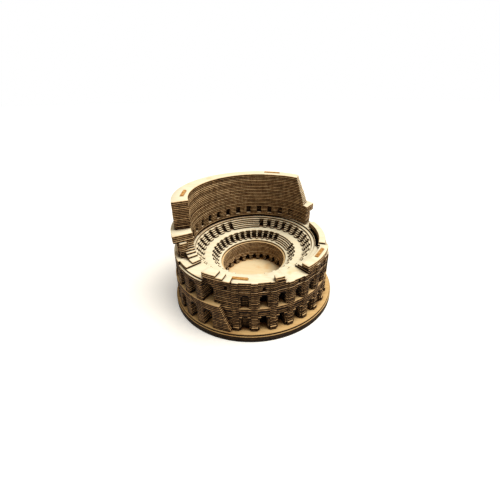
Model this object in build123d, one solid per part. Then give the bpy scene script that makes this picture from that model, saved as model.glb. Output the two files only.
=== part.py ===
from build123d import *
import math
import os

os.makedirs("parts", exist_ok=True)

# Everything is cut from flat board of one thickness and stacked, so heights are counted in sheets.
sheet = 1.5            # thickness of one sheet, mm
stretch = 6.75         # how much longer the oval is than it is wide, per side, mm

# Levels, counted in sheets from the underside
base_top = 4           # top of the plain oval base
arena_floor = 5        # the first building sheet is left whole and is the arena floor
storey_one_top = 18
storey_two_top = 31
cornice_bottom = 39
cornice_top = 43
attic_top = 59

# Half widths across the short axis of the oval, mm
base_half = 69.0
base_top_half = 68.2
front_face = 63.2      # wall face between the pilasters
pilaster_face = 63.9   # face of the pilasters and string courses
foot_face = 64.6       # pilaster feet standing on the base
outer_ring_face = 67.0
tall_inner = 51.0      # inner face of the tall wall
flare_shift = 8.0      # towards its right end that face follows a rounder oval, set off to the right
flare_width = 46.0
flare_length = 57.0
right_slant = 7.5      # its right end is cut aslant, degrees round the oval
attic_face = 63.6
cornice_face = 66.6
arena_half = 26.7
rim_half = 28.2
lower_seat_half = 30.3
lower_seat_run = 1.12  # tread of one seat step, mm
terrace_half = 42.4
upper_seat_run = 1.2
ledge_halves = (49.6, 51.9)   # the two thin steps behind the upper seats
corridor_inner = 52.4
corridor_outer = 55.0
corridor_floor = 26
seat_rise = 5          # sheets in each bank of seats
stair_end = 219.5      # foot of the left end of the tall wall runs out in a flight of steps
stair_run = 15.0       # length of the lowest step, degrees, each next one shorter by stair_fade
stair_fade = 0.6
last_pier = 222.5      # the outer half ends in a plain pier here

# Arcade
arches = 30
arch_step = 360 / arches
arch_phase = -93.5     # direction of the first arch, degrees
arch_width = 6.0
arch_depth = 8.0
pilaster_width = 4.6
window_width = 4.4
fins = 36              # radial fins in each bank of seats
fin_gap = 4.2
arena_doors = 24

# Ends of the walls, degrees round the oval
attic_left_top = 214.0
attic_left_low = 210.0
attic_right_top = 62.0
attic_right_low = 51.0
storey_three_left = 219.0
storey_three_right = 46.0
cornice_left = 220.0
cornice_right = 45.5
ramp_top = 263.0       # where the outer ring starts its slope down to the base
ramp_foot = 269.5
outer_two_left = 251.0
broken_left = 225.0    # beyond this the outer ring steps in by the width of a thin ledge
ledge_face = 64.7

# Locating keys
key_length = 15.0
key_thick = 2.4
key_fit = 0.1          # free play round each key
key_foot = 1           # sheets below the foot of each key
key_proud = 0.8        # how far each key stands above the wall, mm


def reach(half, angle):
    """Point on the oval of the given half width."""
    turn = math.radians(angle)
    return (half * math.cos(turn), (half + stretch) * math.sin(turn))


def facing(half, angle):
    """Direction in degrees that the oval faces at a point."""
    turn = math.radians(angle)
    return math.degrees(math.atan2(math.sin(turn) / (half + stretch), math.cos(turn) / half))


def oval(half):
    return Face(Wire([Edge.make_ellipse(half, half + stretch)]))


def wedge(start, end):
    """Sector seen from the centre, from one direction to the other, anticlockwise."""
    steps = max(1, math.ceil((end - start) / 50))
    corners = [(0.0, 0.0)]
    for k in range(steps + 1):
        x, y = reach(front_face, start + (end - start) * k / steps)
        corners.append((3 * x, 3 * y))
    return Face(Wire.make_polygon([Vector(x, y) for x, y in corners], close=True))


def slab(inner, outer, angle, width):
    """Rectangle lying across the oval from one half width to another."""
    middle = (inner + outer) / 2
    x, y = reach(middle, angle)
    turned = Location((x, y, 0), (0, 0, 1), facing(middle, angle))
    return Face.make_rect(outer - inner, width).moved(turned)


def band(inner, outer, start, end):
    """Part of an oval ring between two directions."""
    ring = oval(outer).cut(oval(inner))
    return ring.intersect(wedge(start, end))


def faces_of(shape):
    if isinstance(shape, (list, tuple, ShapeList)):
        return [f for item in shape for f in faces_of(item)]
    return list(shape.faces())


def cut_all(shape, tools):
    tools = [f for tool in tools for f in faces_of(tool)]
    if not tools:
        return faces_of(shape)
    result = []
    for face in faces_of(shape):
        result += faces_of(face.cut(*tools))
    return result


def join(shapes):
    flat = [f for shape in shapes for f in faces_of(shape)]
    if len(flat) == 1:
        return flat
    return faces_of(flat[0].fuse(*flat[1:]).clean())


def arch_angles(start, end):
    """Directions of the arches that fall inside a span."""
    found = []
    for k in range(-arches, 2 * arches):
        angle = arch_phase + k * arch_step
        if start <= angle <= end:
            found.append(angle)
    return found


def arch_scale(level, bottom, top):
    """Width of a round-headed opening at one sheet, as a share of its full width."""
    below_crown = top - level - 0.5
    spring = 2.0
    if below_crown >= spring:
        return 1.0
    return math.sqrt(max(0.2, 1 - (1 - below_crown / spring) ** 2))


def bowl(level):
    """Half width of the open bowl at one sheet."""
    if level < 18:
        return arena_half
    if level == 18:
        return rim_half
    if level < 19 + seat_rise:
        return lower_seat_half + (level - 19) * lower_seat_run
    if level < 24 + seat_rise:
        return terrace_half + (level - 24) * upper_seat_run
    return ledge_halves[min(1, level - 29)]


def seat_gaps(level):
    """Gaps between the radial fins of the two banks of seats."""
    gaps = []
    if 19 <= level < 19 + seat_rise:
        outer = lower_seat_half + seat_rise * lower_seat_run
        solid = (30, 62)
    elif 24 <= level < 24 + seat_rise:
        outer = terrace_half + seat_rise * upper_seat_run
        solid = (102, 132)
    else:
        return gaps
    for k in range(fins):
        angle = 5 + k * 360 / fins
        if solid[0] < angle < solid[1]:
            continue
        gaps.append(slab(bowl(level) - 2, outer, angle, fin_gap))
    return gaps


def arena_arches(level):
    """Low doors round the foot of the arena wall."""
    if not arena_floor <= level < arena_floor + 4:
        return []
    width = 4.0 * arch_scale(level, arena_floor, arena_floor + 4)
    return [slab(arena_half - 2, arena_half + 5, 360 * k / arena_doors, width) for k in range(arena_doors)]


def clear_of_keys(depth_half, angle):
    """Inner end of an opening in the outer face, held back where a key runs behind it."""
    for name in ("north", "west", "south", "east"):
        half, key_angle, top = key_place(name)
        apart = (angle - key_angle + 180) % 360 - 180
        if abs(apart) < 11:
            depth_half = max(depth_half, half + key_thick / 2 + 1.6)
    return depth_half


def front_arcade(level):
    """Arches cut into the front wall at one sheet."""
    tools = []
    if 4 <= level < 12:
        width = arch_width * arch_scale(level, 4, 12)
    elif 17 <= level < 24:
        width = arch_width * arch_scale(level, 17, 24)
    else:
        width = 0
    if width:
        for angle in arch_angles(-92, 44):
            inner = clear_of_keys(front_face - arch_depth, angle)
            tools.append(slab(inner, foot_face + 2, angle, width))
    if 26 <= level < 28:
        for angle in arch_angles(-94, 44)[::2]:
            tools.append(slab(front_face - 3, foot_face + 2, angle, 2.2))
    return tools


def outer_arcade(level):
    """Arches cut into the outer ring and the tall wall at one sheet."""
    tools = []
    spans = ((4, 14), (18, 27), (31, 38))
    for bottom, top in spans:
        if bottom <= level < top:
            width = (arch_width + 1.6) * arch_scale(level, bottom, top)
            depth = 5.4 if bottom == 31 else 9.5
            last = 214 if bottom == 31 else 262
            for angle in arch_angles(46, last):
                inner = clear_of_keys(attic_face - depth, angle)
                tools.append(slab(inner, cornice_face + 2, angle, width))
    if 48 <= level < 50:
        for angle in arch_angles(64, 208)[::2]:
            tools.append(slab(attic_face - 3, attic_face + 2, angle, 3.0))
    return tools


def inner_windows(level):
    """Square windows low on the inside of the tall wall."""
    if not 33 <= level < 37:
        return []
    return [slab(tall_inner - 3, tall_inner + 3.2, angle, window_width) for angle in arch_angles(46, 209)]


def pilasters(level):
    """Projections between the arches of the front wall."""
    face = foot_face if level < 6 else pilaster_face
    found = []
    for angle in arch_angles(-98, 44):
        found.append(slab(front_face - 2, face, angle + arch_step / 2, pilaster_width))
    return found


def core(level):
    """Full oval ring that carries the seats and the front wall."""
    if level in (11, 15, 16):
        pieces = [oval(pilaster_face)]
    else:
        pieces = [oval(front_face)] + pilasters(level)
    return pieces


def outer_ring(level):
    """Ring in front of the core on the back and left, ending in a stepped slope."""
    if level < storey_one_top:
        share = (level - base_top) / (storey_one_top - 1 - base_top)
        end = ramp_foot + (ramp_top - ramp_foot) * share
        return [band(front_face - 4, outer_ring_face, 52, end)]
    if level < 29:
        return [band(front_face - 4, outer_ring_face - 0.8, 52, outer_two_left)]
    whole = band(front_face - 4, outer_ring_face - 0.8, 52, broken_left)
    return [whole, band(front_face - 4, ledge_face, 52, outer_two_left)]


def corridor(level):
    """Open curved passage between the seats and the outer piece on the right."""
    if corridor_floor <= level < storey_two_top:
        return [band(corridor_inner, corridor_outer, -4, 31)]
    return []


def crest_cuts(level):
    """Where the broken top of the wall drops below the walkway."""
    cuts = []
    if level >= 29:
        cuts.append(band(20, 80, -55.5, -38))
    if level == 30:
        cuts.append(band(20, 80, 235, 251))
    if level >= 28:
        cuts.append(band(61.4, 80, -12, 40))
    return cuts


def crest_blocks(level):
    """Pieces of wall left standing above the walkway, outside the tall wall."""
    above = level - storey_two_top
    blocks = []
    if above < 3:
        blocks.append(band(58, 65.4, -109, -90 - 4.5 * above))
    if level < cornice_bottom:
        blocks.append(band(tall_inner, 58.5, 205, stair_end + stair_run * stair_fade ** above))
        blocks.append(band(57, 62.6, 212, last_pier))
    if above < 2:
        blocks.append(band(60, pilaster_face, -62.5, -56.5))
        blocks.append(band(56.6, front_face, -38, -5))
    if above < 3:
        blocks.append(band(corridor_outer, 60.2, -7 + 1.4 * above, 36))
    return blocks


def key_place(name):
    """Middle, facing and top level of each locating key."""
    places = {
        "north": (58.5, 86.5, attic_top),
        "west": (55.4, 196.0, attic_top),
        "south": (57.8, -87.0, storey_two_top),
        "east": (59.2, -18.0, storey_two_top + 2),
    }
    return places[name]


def key_slots(level):
    slots = []
    for name in ("north", "west", "south", "east"):
        half, angle, top = key_place(name)
        if key_foot <= level < top:
            wide = key_thick / 2 + key_fit
            slots.append(slab(half - wide, half + wide, angle, key_length + 2 * key_fit))
    return slots


def low_sheet(level):
    """One sheet of the building below the walkway."""
    body = join(core(level) + outer_ring(level))
    cuts = front_arcade(level) + outer_arcade(level) + crest_cuts(level) + corridor(level)
    if level >= arena_floor:
        cuts = cuts + [oval(bowl(level))] + seat_gaps(level) + arena_arches(level)
    return cut_all(body, cuts + key_slots(level))


def wall_trims():
    """Where the inner face of the tall wall is cut back towards its right end."""
    flare = Face(Wire([Edge.make_ellipse(flare_width, flare_length)]))
    return [flare.moved(Location((flare_shift, 0, 0)))]


def past_end(angle, face):
    """Everything beyond the slanted right end of the tall wall."""
    inner = Vector(*reach(tall_inner, angle - right_slant))
    outer = Vector(*reach(face, angle))
    along = outer - inner
    beyond = Vector(along.Y, -along.X).normalized() * 40
    start = inner - along
    end = outer + along
    return Face(Wire.make_polygon([start, end, end + beyond, start + beyond], close=True))


def high_sheet(level):
    """One sheet above the walkway: the tall wall and whatever is left of the front."""
    face = attic_face
    if level < cornice_bottom:
        right, left = storey_three_right, storey_three_left
    elif level < cornice_top:
        right, left = cornice_right, cornice_left
        face = cornice_face
    else:
        share = (level - cornice_top) / (attic_top - 1 - cornice_top)
        right = attic_right_low + (attic_right_top - attic_right_low) * share
        left = attic_left_low + (attic_left_top - attic_left_low) * share
    tall = cut_all(band(tall_inner, face, right - 12, left), wall_trims() + [past_end(right, face)])
    body = join(tall + crest_blocks(level))
    return cut_all(body, outer_arcade(level) + inner_windows(level) + key_slots(level))


def base_sheet(level):
    half = base_top_half if level == base_top - 1 else base_half
    return cut_all(oval(half), key_slots(level))


def sheet_solid(outline, level):
    """Outline given its thickness and lifted to its level."""
    solids = []
    for face in outline:
        if face.area < 1.0:
            continue
        lifted = face.moved(Location((0, 0, level * sheet)))
        solids.append(Solid.extrude(lifted, Vector(0, 0, sheet)))
    return solids[0] if len(solids) == 1 else Compound(solids)


def part_of(level):
    if level < base_top:
        return "base"
    if level < storey_one_top:
        return "storey_one"
    if level < storey_two_top:
        return "storey_two"
    if level < cornice_bottom:
        return "storey_three"
    if level < cornice_top:
        return "cornice"
    return "attic"


def key_solid(name):
    half, angle, top = key_place(name)
    strip = slab(half - key_thick / 2, half + key_thick / 2, angle, key_length)
    foot = key_foot * sheet
    lifted = strip.moved(Location((0, 0, foot)))
    return Solid.extrude(lifted, Vector(0, 0, top * sheet - foot + key_proud))


def build_sheets():
    for level in range(attic_top):
        if level < base_top:
            outline = base_sheet(level)
        elif level < storey_two_top:
            outline = low_sheet(level)
        else:
            outline = high_sheet(level)
        name = f"{part_of(level)}_sheet_{level + 1:02d}"
        export_step(sheet_solid(outline, level), f"parts/{name}.step")
        print(name, len(outline))


def build_keys():
    keys = [key_solid(name) for name in ("north", "west", "south", "east")]
    export_step(Compound(keys), "parts/locating_keys.step")


build_sheets()
build_keys()
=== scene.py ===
import bmesh
import bpy
import math
import random
from mathutils import Matrix, Vector


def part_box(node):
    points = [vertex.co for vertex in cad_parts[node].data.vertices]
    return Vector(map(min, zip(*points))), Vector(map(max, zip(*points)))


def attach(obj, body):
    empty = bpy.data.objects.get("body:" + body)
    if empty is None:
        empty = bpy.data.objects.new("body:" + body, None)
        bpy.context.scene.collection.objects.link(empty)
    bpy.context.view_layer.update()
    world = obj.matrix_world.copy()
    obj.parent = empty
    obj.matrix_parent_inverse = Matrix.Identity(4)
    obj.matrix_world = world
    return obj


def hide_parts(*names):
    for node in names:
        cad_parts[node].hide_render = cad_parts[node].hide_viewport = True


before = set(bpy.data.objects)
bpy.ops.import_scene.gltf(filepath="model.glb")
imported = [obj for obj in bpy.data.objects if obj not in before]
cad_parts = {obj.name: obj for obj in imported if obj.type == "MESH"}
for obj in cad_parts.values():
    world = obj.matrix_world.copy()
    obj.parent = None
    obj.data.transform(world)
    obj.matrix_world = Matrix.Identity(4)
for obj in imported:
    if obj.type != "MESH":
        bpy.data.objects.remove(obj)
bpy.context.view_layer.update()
partNames = sorted(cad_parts)
print("frame loaded,", len(partNames), "parts")


# Helpers for the node materials

noiseLook = {
    "span": (0.3, 0.7),    # most of a noise texture's values lie between these
    "roughness": 0.55,
}


def hexColour(text):
    channels = [int(text[i:i + 2], 16) / 255 for i in (1, 3, 5)]
    return [c / 12.92 if c <= 0.04045 else ((c + 0.055) / 1.055) ** 2.4 for c in channels] + [1.0]


def addNode(tree, kind, inputs=None, **settings):
    node = tree.nodes.new(kind)
    for name, value in settings.items():
        setattr(node, name, value)
    for key, value in (inputs or {}).items():
        if isinstance(value, bpy.types.NodeSocket):
            tree.links.new(value, node.inputs[key])
        else:
            node.inputs[key].default_value = value
    return node


def colourRamp(tree, factor, stops):
    node = addNode(tree, "ShaderNodeValToRGB", {"Fac": factor})
    ramp = node.color_ramp
    while len(ramp.elements) < len(stops):
        ramp.elements.new(0.5)
    for element, (place, tone) in zip(ramp.elements, stops):
        element.position = place
        element.color = hexColour(tone)
    return node.outputs["Color"]


def newMaterial(name, roughness, specular):
    material = bpy.data.materials.new(name)
    material.use_nodes = True
    tree = material.node_tree
    shader = tree.nodes["Principled BSDF"]
    shader.inputs["Roughness"].default_value = roughness
    shader.inputs["Specular IOR Level"].default_value = specular
    return material, tree, shader


def scaledNoise(tree, coords, scale, detail=3.0, stretch=(1, 1, 1)):
    # scale is in features per metre, a stretch below 1 draws the pattern out along that axis
    mapped = addNode(tree, "ShaderNodeMapping", {"Vector": coords, "Scale": [scale * s for s in stretch]})
    noise = addNode(tree, "ShaderNodeTexNoise", {"Vector": mapped.outputs["Vector"], "Scale": 1.0,
                                                 "Detail": detail, "Roughness": noiseLook["roughness"]})
    return noise.outputs["Fac"]


def mathStep(tree, operation, first, second=0.0, clamp=False):
    node = addNode(tree, "ShaderNodeMath", {0: first, 1: second}, operation=operation, use_clamp=clamp)
    return node.outputs[0]


def swing(tree, value, middle, amount, span=noiseLook["span"]):
    # turns a value that lies in the span into one that lies within amount of the middle
    node = addNode(tree, "ShaderNodeMapRange", {"Value": value, "From Min": span[0], "From Max": span[1],
                                                "To Min": middle - amount, "To Max": middle + amount})
    return node.outputs["Result"]


def weigh(tree, first, second, share):
    firstPart = mathStep(tree, "MULTIPLY", first, share)
    return mathStep(tree, "ADD", firstPart, mathStep(tree, "MULTIPLY", second, 1 - share))


def tint(tree, colour, shade):
    node = addNode(tree, "ShaderNodeMix", {"Factor": 1.0, 6: colour, 7: shade},
                   data_type="RGBA", blend_type="MULTIPLY")
    return node.outputs[2]


def addBump(tree, shader, height, strength, distance):
    bump = addNode(tree, "ShaderNodeBump", {"Height": height, "Strength": strength, "Distance": distance})
    tree.links.new(bump.outputs["Normal"], shader.inputs["Normal"])


# Burn marks and painted shade that faces and cut edges share

burnAndShadeLook = {
    "samples": 6,
    "fullShadeShare": 0.55,    # painted shade is full below this share of the value at which it ends
}


def paintedShadeInRecesses(tree, reach, darkest, openShare):
    # painted shade: the colour darkens where the surface is closed in: arches, gaps between fins, feet of
    # walls
    around = addNode(tree, "ShaderNodeAmbientOcclusion", {"Distance": reach}, samples=burnAndShadeLook["samples"])
    stops = [(0.0, darkest), (openShare * burnAndShadeLook["fullShadeShare"], darkest), (openShare, "#FFFFFF")]
    return colourRamp(tree, around.outputs["AO"], stops)


def scorchedRim(tree, reach, stops):
    # the laser scorches a narrow rim of each face beside the cut
    rounded = addNode(tree, "ShaderNodeBevel", {"Radius": reach}, samples=burnAndShadeLook["samples"])
    plain = addNode(tree, "ShaderNodeNewGeometry")
    match = addNode(tree, "ShaderNodeVectorMath",
                    {0: rounded.outputs["Normal"], 1: plain.outputs["Normal"]}, operation="DOT_PRODUCT")
    return colourRamp(tree, match.outputs["Value"], stops)


# Face of the sheets: basswood ply, raw and sanded, pale cream with a straight faint grain

faceLook = {
    "grainPerMetre": 900,     # growth lines about 1.1 mm apart
    "fibrePerMetre": 5000,    # fibres about 0.2 mm
    "smokePerMetre": 45,      # soft smoke stains about 22 mm across
    "grainStretch": (0.035, 1, 1),    # grain and fibres run along X
    "fibreStretch": (0.06, 1, 1),
    "grainShare": 0.7,        # the rest of the pattern is fibre
    "roughness": 0.73,
    "roughnessSwing": 0.07,
    "specular": 0.22,
    "bumpStrength": 0.5,
    "bumpHeight": 0.00004,
    # painted shade in recesses: how far it reaches and how open a place must be to escape it
    "shadeReach": 0.006,
    "shadeOpen": 0.78,
    "rimReach": 0.0005,
    "rimStops": [(0.55, "#8A5A2C"), (0.90, "#F3E3C4"), (0.99, "#FFFFFF")],
}


def basswoodFace(name, pale, warm, smoke, shadeTone="#6A4220"):
    material, tree, shader = newMaterial(name, faceLook["roughness"], faceLook["specular"])
    coords = addNode(tree, "ShaderNodeTexCoord").outputs["Object"]
    grain = scaledNoise(tree, coords, faceLook["grainPerMetre"], 4.0, faceLook["grainStretch"])
    fibre = scaledNoise(tree, coords, faceLook["fibrePerMetre"], 2.0, faceLook["fibreStretch"])
    stain = scaledNoise(tree, coords, faceLook["smokePerMetre"])
    grown = weigh(tree, grain, fibre, faceLook["grainShare"])
    base = colourRamp(tree, grown, [(0.34, warm), (0.52, pale), (0.75, pale)])
    smoked = colourRamp(tree, stain, [(0.40, "#FFFFFF"), (0.62, "#FFFFFF"), (0.80, smoke)])
    stained = tint(tree, base, smoked)
    # painted shade darkens the face in arches, gaps and at the feet of walls
    paintedShade = paintedShadeInRecesses(tree, faceLook["shadeReach"], shadeTone, faceLook["shadeOpen"])
    rim = scorchedRim(tree, faceLook["rimReach"], faceLook["rimStops"])
    tree.links.new(tint(tree, tint(tree, stained, paintedShade), rim), shader.inputs["Base Color"])
    rough = swing(tree, fibre, faceLook["roughness"], faceLook["roughnessSwing"])
    tree.links.new(rough, shader.inputs["Roughness"])
    addBump(tree, shader, grown, faceLook["bumpStrength"], faceLook["bumpHeight"])
    return material


# Cut edge of the sheets: laser-charred basswood, black low down and toasted towards the top of each sheet

edgeLook = {
    "sheetThickness": 0.0015,
    "streaksPerMetre": 2600,   # the laser's pulses leave upright streaks about 0.4 mm apart
    "patchPerMetre": 110,      # darker and lighter stretches about 9 mm long
    "unevenPerMetre": 420,     # how the burnt line wanders along the edge
    "streakStretch": (1, 1, 0.12),
    "patchStretch": (1, 1, 2.2),
    "unevenStretch": (1, 1, 0.4),
    "uneven": 0.09,            # how far the burnt line wanders, in sheets
    "patchSwing": 0.24,        # how much lighter or darker patches, streaks and whole sheets are
    "streakSwing": 0.12,
    "sheetSwing": 0.16,
    "levelGuard": 0.0005,      # keeps a sheet's underside from counting as the sheet below
    "roughness": 0.85,
    "specular": 0.12,
    "lineShare": 0.7,          # the rest of the relief is streaks
    "bumpStrength": 0.6,
    "bumpHeight": 0.00012,
    # painted shade in recesses: how far it reaches, its colour, and how open a place must be to escape it
    "shadeReach": 0.008,
    "shadeTone": "#3A2A20",
    "shadeOpen": 0.75,
}


def charredEdge(name, tones):
    material, tree, shader = newMaterial(name, edgeLook["roughness"], edgeLook["specular"])
    coords = addNode(tree, "ShaderNodeTexCoord").outputs["Object"]
    height = addNode(tree, "ShaderNodeSeparateXYZ", {0: coords}).outputs["Z"]
    level = mathStep(tree, "DIVIDE", height, edgeLook["sheetThickness"])
    guarded = mathStep(tree, "ADD", level, edgeLook["levelGuard"])
    within = mathStep(tree, "FRACT", guarded)
    number = mathStep(tree, "FLOOR", guarded)
    wander = scaledNoise(tree, coords, edgeLook["unevenPerMetre"], 2.0, edgeLook["unevenStretch"])
    line = mathStep(tree, "ADD", within, swing(tree, wander, 0.0, edgeLook["uneven"]), clamp=True)
    charred = colourRamp(tree, line, tones)
    sheetTone = addNode(tree, "ShaderNodeTexWhiteNoise", {"W": number}, noise_dimensions="1D")
    patch = scaledNoise(tree, coords, edgeLook["patchPerMetre"], 3.0, edgeLook["patchStretch"])
    streak = scaledNoise(tree, coords, edgeLook["streaksPerMetre"], 1.0, edgeLook["streakStretch"])
    patchLight = swing(tree, patch, 1.0, edgeLook["patchSwing"])
    light = mathStep(tree, "MULTIPLY", patchLight, swing(tree, streak, 1.0, edgeLook["streakSwing"]))
    sheetLight = swing(tree, sheetTone.outputs["Value"], 1.0, edgeLook["sheetSwing"], span=(0.0, 1.0))
    light = mathStep(tree, "MULTIPLY", light, sheetLight)
    toned = addNode(tree, "ShaderNodeCombineXYZ", {0: light, 1: light, 2: light}).outputs[0]
    # painted shade darkens the edge in arches, gaps and at the feet of walls
    paintedShade = paintedShadeInRecesses(tree, edgeLook["shadeReach"], edgeLook["shadeTone"], edgeLook["shadeOpen"])
    tree.links.new(tint(tree, tint(tree, charred, toned), paintedShade), shader.inputs["Base Color"])
    relief = weigh(tree, line, streak, edgeLook["lineShare"])
    addBump(tree, shader, relief, edgeLook["bumpStrength"], edgeLook["bumpHeight"])
    return material


paleFace = basswoodFace("basswood ply face, clean", "#FDF6DC", "#F6E7BF", "#F0DBAC")
floorFace = basswoodFace("basswood ply face, arena floor", "#FCE8BE", "#F6DAA6", "#F2D09A", "#D8AC74")
# the ledge and base faces are darker, tanner copies of the pale face: partly smoke tint, partly painted shade
# where the walls shade them
ledgeFaceSmokeAndShade = basswoodFace("basswood ply face, smoke-tinted, painted-shade ledges", "#F0D09A", "#DEB474", "#CDA060")
baseFaceSmokeAndShade = basswoodFace("basswood ply face, smoke-tinted, painted-shade base", "#E0BC82", "#C99C5E", "#BC8D52")
# the walls', tall wall's and bowl's edges are one charred edge in three tones: the walls' darkest as painted
# shade, the bowl's lightest as painted light, the tall wall's in between
wallEdgeShaded = charredEdge("laser-charred basswood edge, walls",
                       [(0.0, "#040201"), (0.40, "#0D0603"), (0.60, "#281709"), (0.76, "#644424"),
                        (0.92, "#C59C6A"), (1.0, "#D2AC7A")])
tallEdge = charredEdge("laser-charred basswood edge, tall wall",
                       [(0.0, "#0A0502"), (0.35, "#1C0F07"), (0.55, "#4E321B"), (0.71, "#9C744D"),
                        (0.90, "#EAC692"), (1.0, "#F2D4A6")])
bowlEdgeLit = charredEdge("laser-charred basswood edge, bowl",
                       [(0.0, "#100804"), (0.33, "#28180C"), (0.53, "#624226"), (0.69, "#B08A60"),
                        (0.90, "#F0D0A2"), (1.0, "#F4DAB2")])
baseEdge = charredEdge("laser-charred basswood edge, base",
                       [(0.0, "#0B0602"), (0.34, "#180E06"), (0.58, "#28190B"), (0.80, "#412B15"),
                        (0.96, "#6A4E2B"), (1.0, "#755833")])
print("wood materials made")


# Keys: the same board stood on edge, toasted orange along its cut edges

keyLook = {
    "bandPerMetre": 2200,
    "bandStretch": (0.3, 0.3, 0.05),    # which leaves the fibre bands 1.5 mm apart, coarse enough to show
    "patchPerMetre": 260,
    "roughness": 0.66,
    "specular": 0.25,
    "bumpStrength": 0.5,
    "bumpHeight": 0.00005,
    "cornerRound": 0.0001,
    "sharpFold": 0.8,         # edges that turn by more than this, in radians, are rounded
}


def toastedKey(name):
    material, tree, shader = newMaterial(name, keyLook["roughness"], keyLook["specular"])
    coords = addNode(tree, "ShaderNodeTexCoord").outputs["Object"]
    fibre = scaledNoise(tree, coords, keyLook["bandPerMetre"], 3.0, keyLook["bandStretch"])
    patch = scaledNoise(tree, coords, keyLook["patchPerMetre"], 2.0)
    base = colourRamp(tree, fibre, [(0.30, "#C58A42"), (0.50, "#DEA95F"), (0.72, "#F0CC90")])
    shade = colourRamp(tree, patch, [(0.35, "#C9B49A"), (0.60, "#FFFFFF")])
    tree.links.new(tint(tree, base, shade), shader.inputs["Base Color"])
    addBump(tree, shader, fibre, keyLook["bumpStrength"], keyLook["bumpHeight"])
    return material


keyWood = toastedKey("basswood key edge, toasted orange")


# Sheets: each CAD sheet is copied, cleaned and given soft top corners and its own slight drift

sheetMake = {
    "cornerRound": 0.00013,    # top corners are slightly rounded by the burn
    "drift": 0.00013,          # how far a glued sheet sits off its true place
    "turn": 0.10,              # and how far it is turned, degrees
    "firstSeed": 100,
    "sharpAngle": 35,          # degrees
    "bowlHalfWidth": 0.050,    # cut edges inside this oval face the bowl and get the lighter edge tone, painted light
    "bowlHalfLength": 0.0567,
    "flatNormal": 0.9,         # a face whose normal is this upright is a face of the sheet
    "edgeNormal": 0.3,         # and one whose normal is less upright than this is a cut edge
    "mergeWithin": 0.000002,
    "levelWithin": 0.00001,
}


def cleanCopy(partName):
    shape = bmesh.new()
    shape.from_mesh(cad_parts[partName].data)
    bmesh.ops.remove_doubles(shape, verts=shape.verts, dist=sheetMake["mergeWithin"])
    return shape


def roundEdges(shape, edges, width):
    bmesh.ops.bevel(shape, geom=edges, offset=width, offset_type="OFFSET", affect="EDGES",
                    segments=1, profile=0.5, material=-1, clamp_overlap=False)


def roundTopCorners(shape, top, width):
    rim = []
    for edge in shape.edges:
        atTop = all(abs(vert.co.z - top) <= sheetMake["levelWithin"] for vert in edge.verts)
        if len(edge.link_faces) != 2 or not atTop:
            continue
        slopes = sorted(abs(face.normal.z) for face in edge.link_faces)
        if slopes[0] < sheetMake["edgeNormal"] and slopes[1] > sheetMake["flatNormal"]:
            rim.append(edge)
    roundEdges(shape, rim, width)


def finishPiece(shape, partName, materials):
    name = partName + "_wood"
    mesh = bpy.data.meshes.new(name)
    shape.to_mesh(mesh)
    shape.free()
    for material in materials:
        mesh.materials.append(material)
    mesh.set_sharp_from_angle(angle=math.radians(sheetMake["sharpAngle"]))
    piece = bpy.data.objects.new(name, mesh)
    bpy.context.scene.collection.objects.link(piece)
    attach(piece, "root")
    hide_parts(partName)


def chooseWoods(partName):
    # the wood of a sheet's faces and of its outer cut edges, by its place in the stack
    if partName.startswith("base"):
        return baseFaceSmokeAndShade, baseEdge
    if partName == "storey_one_sheet_05":
        return floorFace, wallEdgeShaded
    if partName.startswith("storey_one"):
        return ledgeFaceSmokeAndShade, wallEdgeShaded
    if partName.startswith("storey_two"):
        return paleFace, wallEdgeShaded
    return paleFace, tallEdge


def driftSheet(shape, order):
    dice = random.Random(sheetMake["firstSeed"] + order)
    slide = Vector((dice.uniform(-1, 1), dice.uniform(-1, 1), 0)) * sheetMake["drift"]
    turn = math.radians(dice.uniform(-1, 1) * sheetMake["turn"])
    place = Matrix.Translation(slide) @ Matrix.Rotation(turn, 4, "Z")
    bmesh.ops.transform(shape, matrix=place, verts=shape.verts)


def shareOutWoods(shape):
    # wood 0 is for faces, 1 for cut edges and 2 for cut edges inside the bowl
    for face in shape.faces:
        middle = face.calc_center_median()
        inBowl = math.hypot(middle.x / sheetMake["bowlHalfWidth"], middle.y / sheetMake["bowlHalfLength"]) < 1
        isFlat = abs(face.normal.z) > sheetMake["flatNormal"]
        face.material_index = 0 if isFlat else 2 if inBowl else 1
        face.smooth = not isFlat


def makeSheet(partName, order):
    low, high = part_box(partName)
    shape = cleanCopy(partName)
    roundTopCorners(shape, high.z, sheetMake["cornerRound"])
    if not partName.startswith("base"):
        driftSheet(shape, order)
    shareOutWoods(shape)
    finishPiece(shape, partName, [*chooseWoods(partName), bowlEdgeLit])


sheetNames = [name for name in partNames if "sheet" in name]
for order, partName in enumerate(sheetNames):
    makeSheet(partName, order)
print("sheets made:", len(sheetNames))


def makeKeys(partName):
    shape = cleanCopy(partName)
    corners = [edge for edge in shape.edges
               if len(edge.link_faces) == 2 and edge.calc_face_angle() > keyLook["sharpFold"]]
    roundEdges(shape, corners, keyLook["cornerRound"])
    finishPiece(shape, partName, [keyWood])


makeKeys("locating_keys")
print("keys made")


# Floor, light and camera

studio = {
    "floorRadius": 6.0,
    "speckPerMetre": 300,
    "keyFrom": (0.26, 0.05, 0.62),     # nearly overhead, a little from the right and behind
    "keySpread": 44,                   # degrees, a wide soft overhead panel
    "keyStrength": 2.95,
    "skyForLight": 0.31,               # the sky is white to the eye but lights the model less
    "paperGlow": 0.28,
    "lens": 21.63,                     # millimetres
    "nearestSeen": 0.01,
    "cameraPlace": (0.05302, -0.22964, 0.15837),
    "cameraAim": (-0.00714, 0.01478, 0.02687),
    "cameraRoll": -0.66,               # degrees
}


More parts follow.
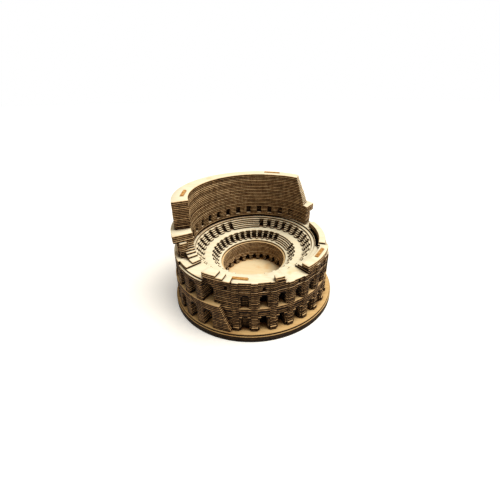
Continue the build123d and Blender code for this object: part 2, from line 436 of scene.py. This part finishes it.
def makeFloor():
    material, tree, shader = newMaterial("matt white studio paper", 0.9, 0.1)
    coords = addNode(tree, "ShaderNodeTexCoord").outputs["Object"]
    speck = scaledNoise(tree, coords, studio["speckPerMetre"], 2.0)
    paperTone = colourRamp(tree, speck, [(0.3, "#F4F2EE"), (0.7, "#FAF9F6")])
    tree.links.new(paperTone, shader.inputs["Base Color"])
    shader.inputs["Emission Color"].default_value = hexColour("#FFFFFF")
    shader.inputs["Emission Strength"].default_value = studio["paperGlow"]
    shape = bmesh.new()
    bmesh.ops.create_circle(shape, cap_ends=True, segments=96, radius=studio["floorRadius"])
    mesh = bpy.data.meshes.new("studio_floor")
    shape.to_mesh(mesh)
    shape.free()
    mesh.materials.append(material)
    paper = bpy.data.objects.new("studio_floor", mesh)
    bpy.context.scene.collection.objects.link(paper)


def makeLight(name):
    lamp = bpy.data.lights.new(name, "SUN")
    lamp.angle = math.radians(studio["keySpread"])
    lamp.energy = studio["keyStrength"]
    lamp.color = hexColour("#FFFAF0")[:3]
    holder = bpy.data.objects.new(name, lamp)
    holder.rotation_mode = "QUATERNION"
    holder.rotation_quaternion = (-Vector(studio["keyFrom"])).to_track_quat("-Z", "Y")
    bpy.context.scene.collection.objects.link(holder)


def makeSky():
    world = bpy.data.worlds.new("white studio")
    world.use_nodes = True
    tree = world.node_tree
    ambient = tree.nodes["Background"]
    ambient.inputs["Color"].default_value = hexColour("#FFF4E2")
    ambient.inputs["Strength"].default_value = studio["skyForLight"]
    seen = addNode(tree, "ShaderNodeBackground", {"Color": hexColour("#FFFFFF"), "Strength": 1.0})
    ray = addNode(tree, "ShaderNodeLightPath")
    mixed = addNode(tree, "ShaderNodeMixShader",
                    {0: ray.outputs["Is Camera Ray"], 1: ambient.outputs[0], 2: seen.outputs[0]})
    tree.links.new(mixed.outputs[0], tree.nodes["World Output"].inputs["Surface"])
    bpy.context.scene.world = world


def makeCamera():
    lensData = bpy.data.cameras.new("camera")
    lensData.lens = studio["lens"]
    lensData.clip_start = studio["nearestSeen"]
    camera = bpy.data.objects.new("camera", lensData)
    bpy.context.scene.collection.objects.link(camera)
    place = Vector(studio["cameraPlace"])
    camera.location = place
    camera.rotation_mode = "QUATERNION"
    aim = (Vector(studio["cameraAim"]) - place).to_track_quat("-Z", "Y")
    roll = Matrix.Rotation(math.radians(studio["cameraRoll"]), 4, "Z").to_quaternion()
    camera.rotation_quaternion = aim @ roll
    bpy.context.scene.camera = camera


makeFloor()
makeLight("overhead_light")
makeSky()
makeCamera()
bpy.context.scene.view_settings.view_transform = "Standard"
print("floor, lights and camera made")
